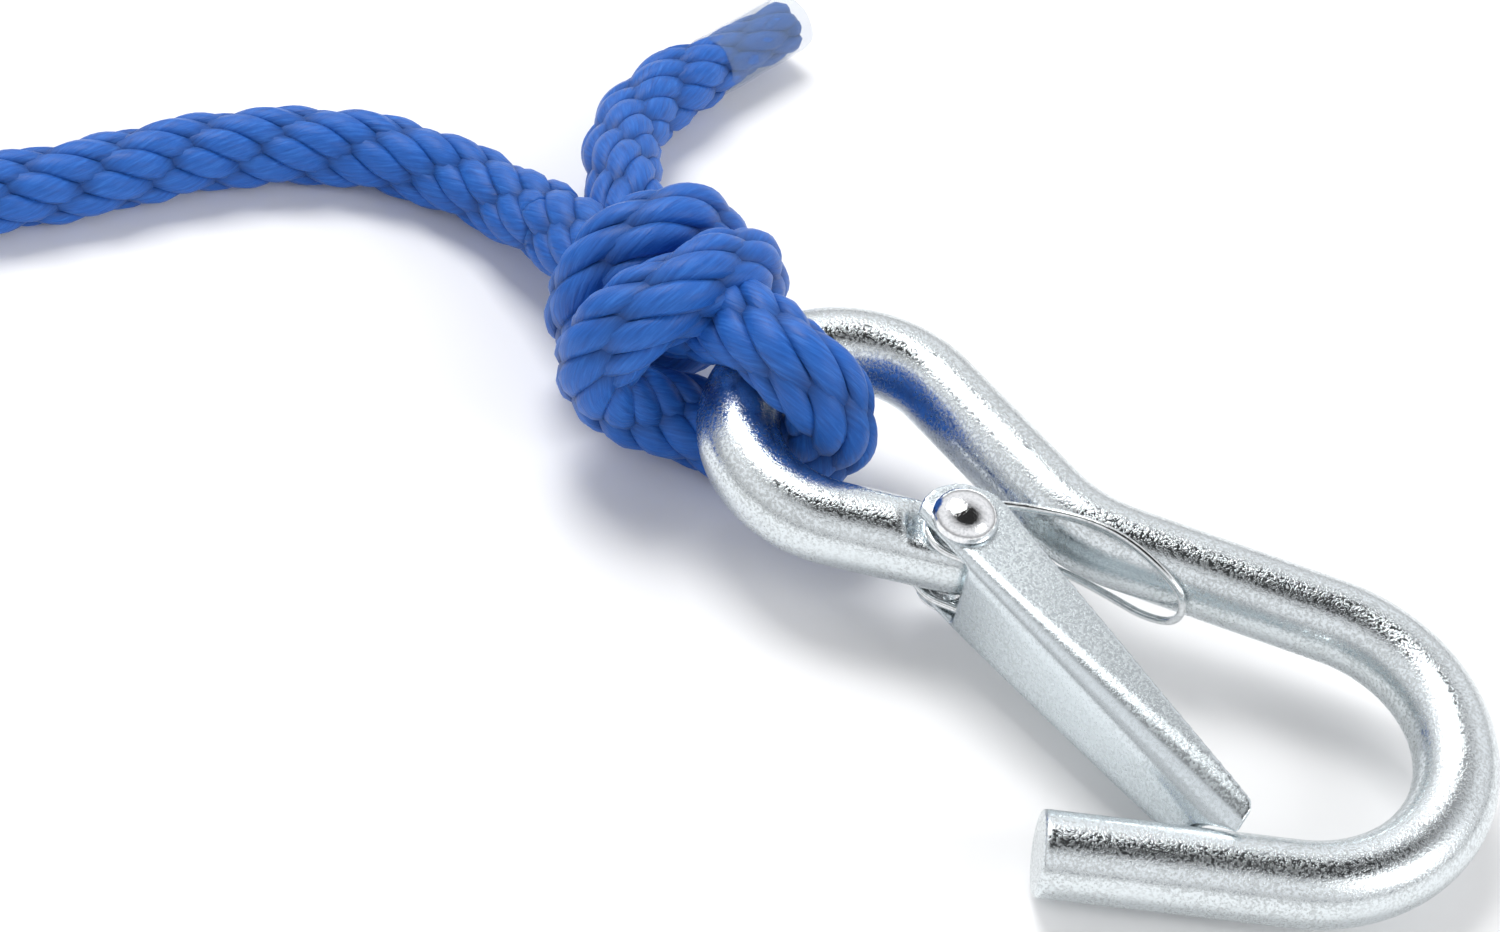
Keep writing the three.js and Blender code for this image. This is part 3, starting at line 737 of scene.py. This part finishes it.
def rivet_profile():
    """From the middle of the low tail, up the shank, to the top of the domed head."""
    profile = []
    for a in np.radians(np.linspace(0, 90, 18)):
        height = -RIVET_SEAT - RIVET_TAIL[1] * math.cos(a)
        profile.append((max(0.02, RIVET_TAIL[0] * math.sin(a)), height))
    seat = RIVET_SEAT - RIVET_SINK
    profile += [(RIVET_TAIL[0] - 0.2, -seat), (RIVET_SHANK, -seat)]
    profile += [(RIVET_SHANK, seat), (RIVET_HEAD[0] - 0.25, seat)]
    for a in np.radians(np.linspace(90, 0, 24)):
        height = RIVET_SEAT + RIVET_HEAD[1] * math.cos(a)
        profile.append((max(0.02, RIVET_HEAD[0] * math.sin(a)), height))
    return profile


rivet = turned_piece("rivet", rivet_profile())
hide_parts("gate_rivet")


# ---------------------------------------------------------------- gate spring
def spring_half(side):
    """One side of the wire: its tail on the web, its coil at the pin and its leg on the shank."""
    z = side * SPRING_Z
    offset = SHEET + WIRE_RADIUS + 0.3
    points = [
        along_web(9.5, offset, side * 4.2), along_web(3.4, offset + 0.4, side * 4.3),
        (27.7, -10.4, z),
    ]
    for angle in np.radians(np.linspace(262, 90, 13)):
        x = PIVOT[0] + SPRING_RADIUS * math.cos(angle)
        points.append((x, PIVOT[1] + SPRING_RADIUS * math.sin(angle), z))
    points += [
        (29.8, -0.75, z), (34.2, -0.3, side * 4.6), (39.8, -0.8, side * 5.2),
        (44.4, -2.3, side * 5.3), (49, -4.7, side * 4.5), (52, -6.2, side * 2.6),
    ]
    return points


closed_end = [(52.8, -6.6, 0)]
wire_line = resample(spline(spring_half(1) + closed_end + spring_half(-1)[::-1]), WIRE_STEP)
wire_line = smoothed(wire_line, 3)


def off_the_bar(line, room):
    """The line, moved out of the hook's bar where it lies closer than room.

    The arm and the start of the eye are passed over, since the spring winds round the pin there.
    """
    shank_from = round(ARM_LENGTH / BAR_STEP) + 40
    away = line[:, None] - BAR_LINE[None, shank_from:]
    distance = np.linalg.norm(away, axis=2)
    closest = distance.argmin(1)
    rows = np.arange(len(line))
    gap = distance[rows, closest][:, None]
    way = away[rows, closest] / gap
    return line + way * np.clip(room - gap, 0, None)


wire_line = smoothed(off_the_bar(wire_line, BAR_RADIUS + WIRE_RADIUS + 0.25), 3)
spring = loft("spring_wire", tube_rings(placed(wire_line), WIRE_RADIUS, 14), scale=(1, WIRE_STEP))
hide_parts("gate_spring")


# ---------------------------------------------------------------- gate
def pressed_sheet(name, node, grain):
    """The node's shape as an even fine mesh, with the soft edges and folds of pressed sheet."""
    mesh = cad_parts[node].data.copy()
    rough = bpy.data.objects.new(name + "_blank", mesh)
    rough.matrix_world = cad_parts[node].matrix_world
    bpy.context.collection.objects.link(rough)
    remesh = rough.modifiers.new("even", "REMESH")
    remesh.mode = "VOXEL"
    remesh.voxel_size = grain * MM
    soften = rough.modifiers.new("soften", "SMOOTH")
    soften.factor = 0.5
    soften.iterations = 5
    bpy.context.view_layer.update()
    evaluated = rough.evaluated_get(bpy.context.evaluated_depsgraph_get())
    shaped = bpy.data.meshes.new_from_object(evaluated)
    shaped.transform(rough.matrix_world)
    bpy.data.objects.remove(rough)
    shaped.name = name
    shaped.shade_smooth()
    sheet = bpy.data.objects.new(name, shaped)
    bpy.context.collection.objects.link(sheet)
    return sheet


gate = pressed_sheet("gate_sheet", "gate", 0.22)
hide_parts("gate")


# ---------------------------------------------------------------- riding
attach(gate, "gate")
for piece in (free_rope, knot, tail, tail_sleeve, end_sleeve, tie):
    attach(piece, "rope")
for piece in (hook, rivet):
    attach(piece, "hook")
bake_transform(spring)


# ---------------------------------------------------------------- materials
class Nodes:
    """Short calls for building one material's nodes."""

    def __init__(self, name):
        self.material = bpy.data.materials.new(name)
        self.material.use_nodes = True
        self.tree = self.material.node_tree
        self.shader = self.tree.nodes["Principled BSDF"]

    def add(self, kind, **values):
        node = self.tree.nodes.new(kind)
        for name, value in values.items():
            if hasattr(node, name):
                setattr(node, name, value)
            else:
                node.inputs[name.replace("_", " ")].default_value = value
        return node

    def link(self, source, target):
        self.tree.links.new(source, target)

    def settings(self, **values):
        for name, value in values.items():
            self.shader.inputs[name.replace("_", " ")].default_value = value

    def place(self, scale=(1, 1, 1), kind="Object"):
        """Texture coordinates, scaled."""
        source = self.add("ShaderNodeTexCoord").outputs[kind]
        mapping = self.add("ShaderNodeMapping")
        mapping.inputs["Scale"].default_value = scale
        self.link(source, mapping.inputs["Vector"])
        return mapping.outputs["Vector"]

    def noise(self, vector, scale, detail=4, roughness=0.5):
        node = self.add("ShaderNodeTexNoise", Scale=scale, Detail=detail, Roughness=roughness)
        self.link(vector, node.inputs["Vector"])
        return node.outputs["Fac"]

    def ramp(self, value, *stops):
        node = self.add("ShaderNodeValToRGB")
        elements = node.color_ramp.elements
        while len(elements) < len(stops):
            elements.new(0.5)
        for element, (position, color) in zip(elements, stops):
            element.position = position
            element.color = (*color, 1)
        self.link(value, node.inputs["Fac"])
        return node.outputs["Color"]

    def span(self, value, low, high, to_low=0.0, to_high=1.0):
        node = self.add("ShaderNodeMapRange")
        for name, number in (
            ("From Min", low), ("From Max", high), ("To Min", to_low), ("To Max", to_high),
        ):
            node.inputs[name].default_value = number
        self.link(value, node.inputs["Value"])
        return node.outputs["Result"]

    def maths(self, operation, a, b):
        node = self.add("ShaderNodeMath", operation=operation)
        for socket, value in zip(node.inputs, (a, b)):
            if isinstance(value, (int, float)):
                socket.default_value = value
            else:
                self.link(value, socket)
        return node.outputs["Value"]

    def mixed(self, factor, a, b, blend_type="MIX"):
        node = self.add("ShaderNodeMix", data_type="RGBA", blend_type=blend_type)
        for socket, value in ((node.inputs[0], factor), (node.inputs[6], a), (node.inputs[7], b)):
            if isinstance(value, (int, float)):
                socket.default_value = value
            elif isinstance(value, tuple):
                socket.default_value = (*value, 1)
            else:
                self.link(value, socket)
        return node.outputs[2]

    def bump(self, height, distance, strength=1.0, under=None):
        node = self.add("ShaderNodeBump")
        node.inputs["Strength"].default_value = strength
        node.inputs["Distance"].default_value = distance * MM
        self.link(height, node.inputs["Height"])
        if under is not None:
            self.link(under, node.inputs["Normal"])
        return node.outputs["Normal"]


def zinc(name, light, dark, rough=(0.15, 0.33), grain=1.0):
    """Bright zinc plate: a fine frosted grain broken by small darker specks."""
    nodes = Nodes(name)
    nodes.settings(Metallic=1.0)
    place = nodes.place((1 / MM,) * 3)
    pits = nodes.span(nodes.noise(place, 2.7, 4, 0.62), 0.46, 0.60)
    cloud = nodes.noise(place, 0.09, 3, 0.5)
    patchy = nodes.maths("MULTIPLY", pits, nodes.span(cloud, 0.35, 0.6, 0.45, 1.0))
    color = nodes.mixed(nodes.maths("MULTIPLY", patchy, 0.60), light, dark)
    nodes.link(color, nodes.shader.inputs["Base Color"])
    nodes.link(nodes.span(patchy, 0, 1, *rough), nodes.shader.inputs["Roughness"])
    rippled = nodes.bump(cloud, 0.05 * grain, 0.4)
    nodes.link(nodes.bump(pits, 0.012 * grain, 1.0, rippled), nodes.shader.inputs["Normal"])
    return nodes


def rope_material():
    """Silky blue filament: fine twisted fibres along each strand, with shade painted in dark where
    strands meet and dip into the grooves.
    """
    nodes = Nodes("rope_filament")
    place = nodes.place((1, 1, 1), "UV")
    split = nodes.add("ShaderNodeSeparateXYZ")
    nodes.link(place, split.inputs[0])
    around, lengthwise = split.outputs[0], split.outputs[1]
    twisted = nodes.maths("SUBTRACT", nodes.maths("MULTIPLY", around, 6.0), nodes.maths(
        "MULTIPLY", lengthwise, 0.55))
    joined = nodes.add("ShaderNodeCombineXYZ")
    nodes.link(nodes.maths("MULTIPLY", twisted, 1.6), joined.inputs[0])
    nodes.link(nodes.maths("MULTIPLY", lengthwise, 0.16), joined.inputs[1])
    fibres = nodes.noise(joined.outputs[0], 2.2, 4, 0.6)
    body = nodes.place((1 / MM,) * 3)
    cloud = nodes.noise(body, 0.12, 3, 0.5)
    color = nodes.ramp(
        fibres, (0.28, (0.009, 0.075, 0.33)), (0.52, (0.015, 0.118, 0.47)),
        (0.76, (0.040, 0.19, 0.62)),
    )
    color = nodes.mixed(nodes.span(cloud, 0.3, 0.7, 0.0, 0.3), color, (0.010, 0.10, 0.44))
    # Painted shade: the colour darkens towards the rope's core, so the grooves between strands look
    # shaded.
    depth = nodes.add("ShaderNodeAttribute", attribute_name="depth").outputs["Fac"]
    shade = nodes.span(depth, 0.70, 0.95, 0.06, 1.0)
    color = nodes.mixed(shade, (0.002, 0.018, 0.09), color)
    nodes.link(color, nodes.shader.inputs["Base Color"])
    nodes.settings(Sheen_Weight=0.10, Sheen_Roughness=0.4, Specular_IOR_Level=0.32)
    nodes.shader.inputs["Sheen Tint"].default_value = (0.55, 0.72, 1.0, 1)
    nodes.link(nodes.span(fibres, 0.3, 0.7, 0.36, 0.58), nodes.shader.inputs["Roughness"])
    nodes.link(nodes.bump(fibres, 0.16, 0.9), nodes.shader.inputs["Normal"])
    return nodes.material


def film_material():
    """Thin clear shrunk film."""
    nodes = Nodes("clear_film")
    nodes.settings(Roughness=0.12, IOR=1.5, Alpha=0.2)
    nodes.shader.inputs["Base Color"].default_value = (0.24, 0.33, 0.48, 1)
    place = nodes.place((1 / MM,) * 3)
    wrinkles = nodes.noise(place, 0.35, 4, 0.6)
    nodes.link(nodes.span(wrinkles, 0.3, 0.7, 0.08, 0.25), nodes.shader.inputs["Roughness"])
    nodes.link(nodes.bump(wrinkles, 0.5, 0.6), nodes.shader.inputs["Normal"])
    return nodes.material


def tape_material():
    """Black woven tape: ribs across the width."""
    nodes = Nodes("tie_weave")
    place = nodes.place((1, 1, 1), "UV")
    ribs = nodes.add("ShaderNodeTexWave", bands_direction="Y", Scale=0.55, Distortion=0.4)
    nodes.link(place, ribs.inputs["Vector"])
    warp = nodes.add("ShaderNodeTexWave", bands_direction="X", Scale=0.7, Distortion=0.3)
    nodes.link(place, warp.inputs["Vector"])
    weave = nodes.maths("MULTIPLY", ribs.outputs["Fac"], warp.outputs["Fac"])
    fuzz = nodes.noise(nodes.place((1 / MM,) * 3), 2.0, 4)
    color = nodes.ramp(
        nodes.maths("ADD", weave, nodes.maths("MULTIPLY", fuzz, 0.4)),
        (0.15, (0.006, 0.006, 0.007)), (0.9, (0.045, 0.046, 0.052)),
    )
    nodes.link(color, nodes.shader.inputs["Base Color"])
    nodes.settings(Roughness=0.85, Sheen_Weight=0.3)
    nodes.link(nodes.bump(weave, 0.12, 0.8), nodes.shader.inputs["Normal"])
    return nodes.material


def floor_material():
    nodes = Nodes("floor_paper")
    nodes.settings(Roughness=0.9)
    nodes.shader.inputs["Base Color"].default_value = (0.93, 0.93, 0.93, 1)
    grain = nodes.noise(nodes.place((1 / MM,) * 3), 0.5, 3)
    nodes.link(nodes.bump(grain, 0.02, 0.3), nodes.shader.inputs["Normal"])
    return nodes.material


def give(thing, material):
    thing.data.materials.clear()
    thing.data.materials.append(material)


rope_look = rope_material()
film_look = film_material()
bar_look = zinc("bar_zinc", (0.74, 0.79, 0.81), (0.40, 0.42, 0.42)).material
sheet_look = zinc(
    "sheet_zinc", (0.68, 0.74, 0.77), (0.50, 0.54, 0.55), rough=(0.24, 0.36), grain=0.3,
).material
wire_look = zinc(
    "wire_zinc", (0.78, 0.81, 0.82), (0.50, 0.52, 0.52), rough=(0.12, 0.26), grain=0.3,
).material
rivet_look = zinc(
    "rivet_polish", (0.86, 0.87, 0.88), (0.62, 0.64, 0.66), rough=(0.04, 0.14), grain=0.35,
).material
for piece in (free_rope, knot, tail):
    give(piece, rope_look)
for piece in (tail_sleeve, end_sleeve):
    give(piece, film_look)
give(tie, tape_material())
give(hook, bar_look)
give(rivet, rivet_look)
give(spring, wire_look)
give(gate, sheet_look)


# ---------------------------------------------------------------- studio
# Brightness of the surroundings from the horizon to straight overhead, as (place, value). The dark
# patch overhead draws the dark band along the bright bar.
SKY = (
    (0.0, 0.45), (0.14, 0.42), (0.22, 0.72), (0.34, 0.95), (0.64, 1.0), (0.80, 0.66),
    (0.86, 0.48), (0.905, 0.03), (0.99, 0.03),
)
SKY_STRENGTH = 1.02
SKY_LEAN = 0.06
LAMPS = (
    ("key", (-0.30, 0.30, 0.80), 0.45, 5.5), ("fill", (0.7, -0.3, 0.5), 0.35, 2.0),
)
FLOOR_SIZE = 6


def studio():
    """White surroundings and floor, and two soft lamps, as (name, place, size, power)."""
    world = bpy.data.worlds.new("studio")
    bpy.context.scene.world = world
    world.use_nodes = True
    tree = world.node_tree
    coordinates = tree.nodes.new("ShaderNodeTexCoord")
    split = tree.nodes.new("ShaderNodeSeparateXYZ")
    tree.links.new(coordinates.outputs["Generated"], split.inputs[0])
    lean = tree.nodes.new("ShaderNodeMath")
    lean.operation = "MULTIPLY_ADD"
    lean.inputs[1].default_value = SKY_LEAN
    tree.links.new(split.outputs["X"], lean.inputs[0])
    tree.links.new(split.outputs["Z"], lean.inputs[2])
    ramp = tree.nodes.new("ShaderNodeValToRGB")
    elements = ramp.color_ramp.elements
    while len(elements) < len(SKY):
        elements.new(0.5)
    for element, (place, value) in zip(elements, SKY):
        element.position = place
        element.color = (value, value, value * 1.02, 1)
    tree.links.new(lean.outputs[0], ramp.inputs["Fac"])
    tree.links.new(ramp.outputs["Color"], tree.nodes["Background"].inputs["Color"])
    tree.nodes["Background"].inputs["Strength"].default_value = SKY_STRENGTH
    bpy.ops.mesh.primitive_plane_add(size=FLOOR_SIZE, location=(0, 0, -0.0002))
    floor = bpy.context.object
    floor.name = "floor"
    floor.data.materials.append(floor_material())
    for name, place, size, power in LAMPS:
        data = bpy.data.lights.new(name, "AREA")
        data.size = size
        data.energy = power
        lamp = bpy.data.objects.new(name, data)
        lamp.location = place
        lamp.rotation_euler = (-Vector(place)).to_track_quat("-Z", "Y").to_euler()
        bpy.context.collection.objects.link(lamp)
    bpy.context.scene.view_settings.view_transform = "Standard"


studio()
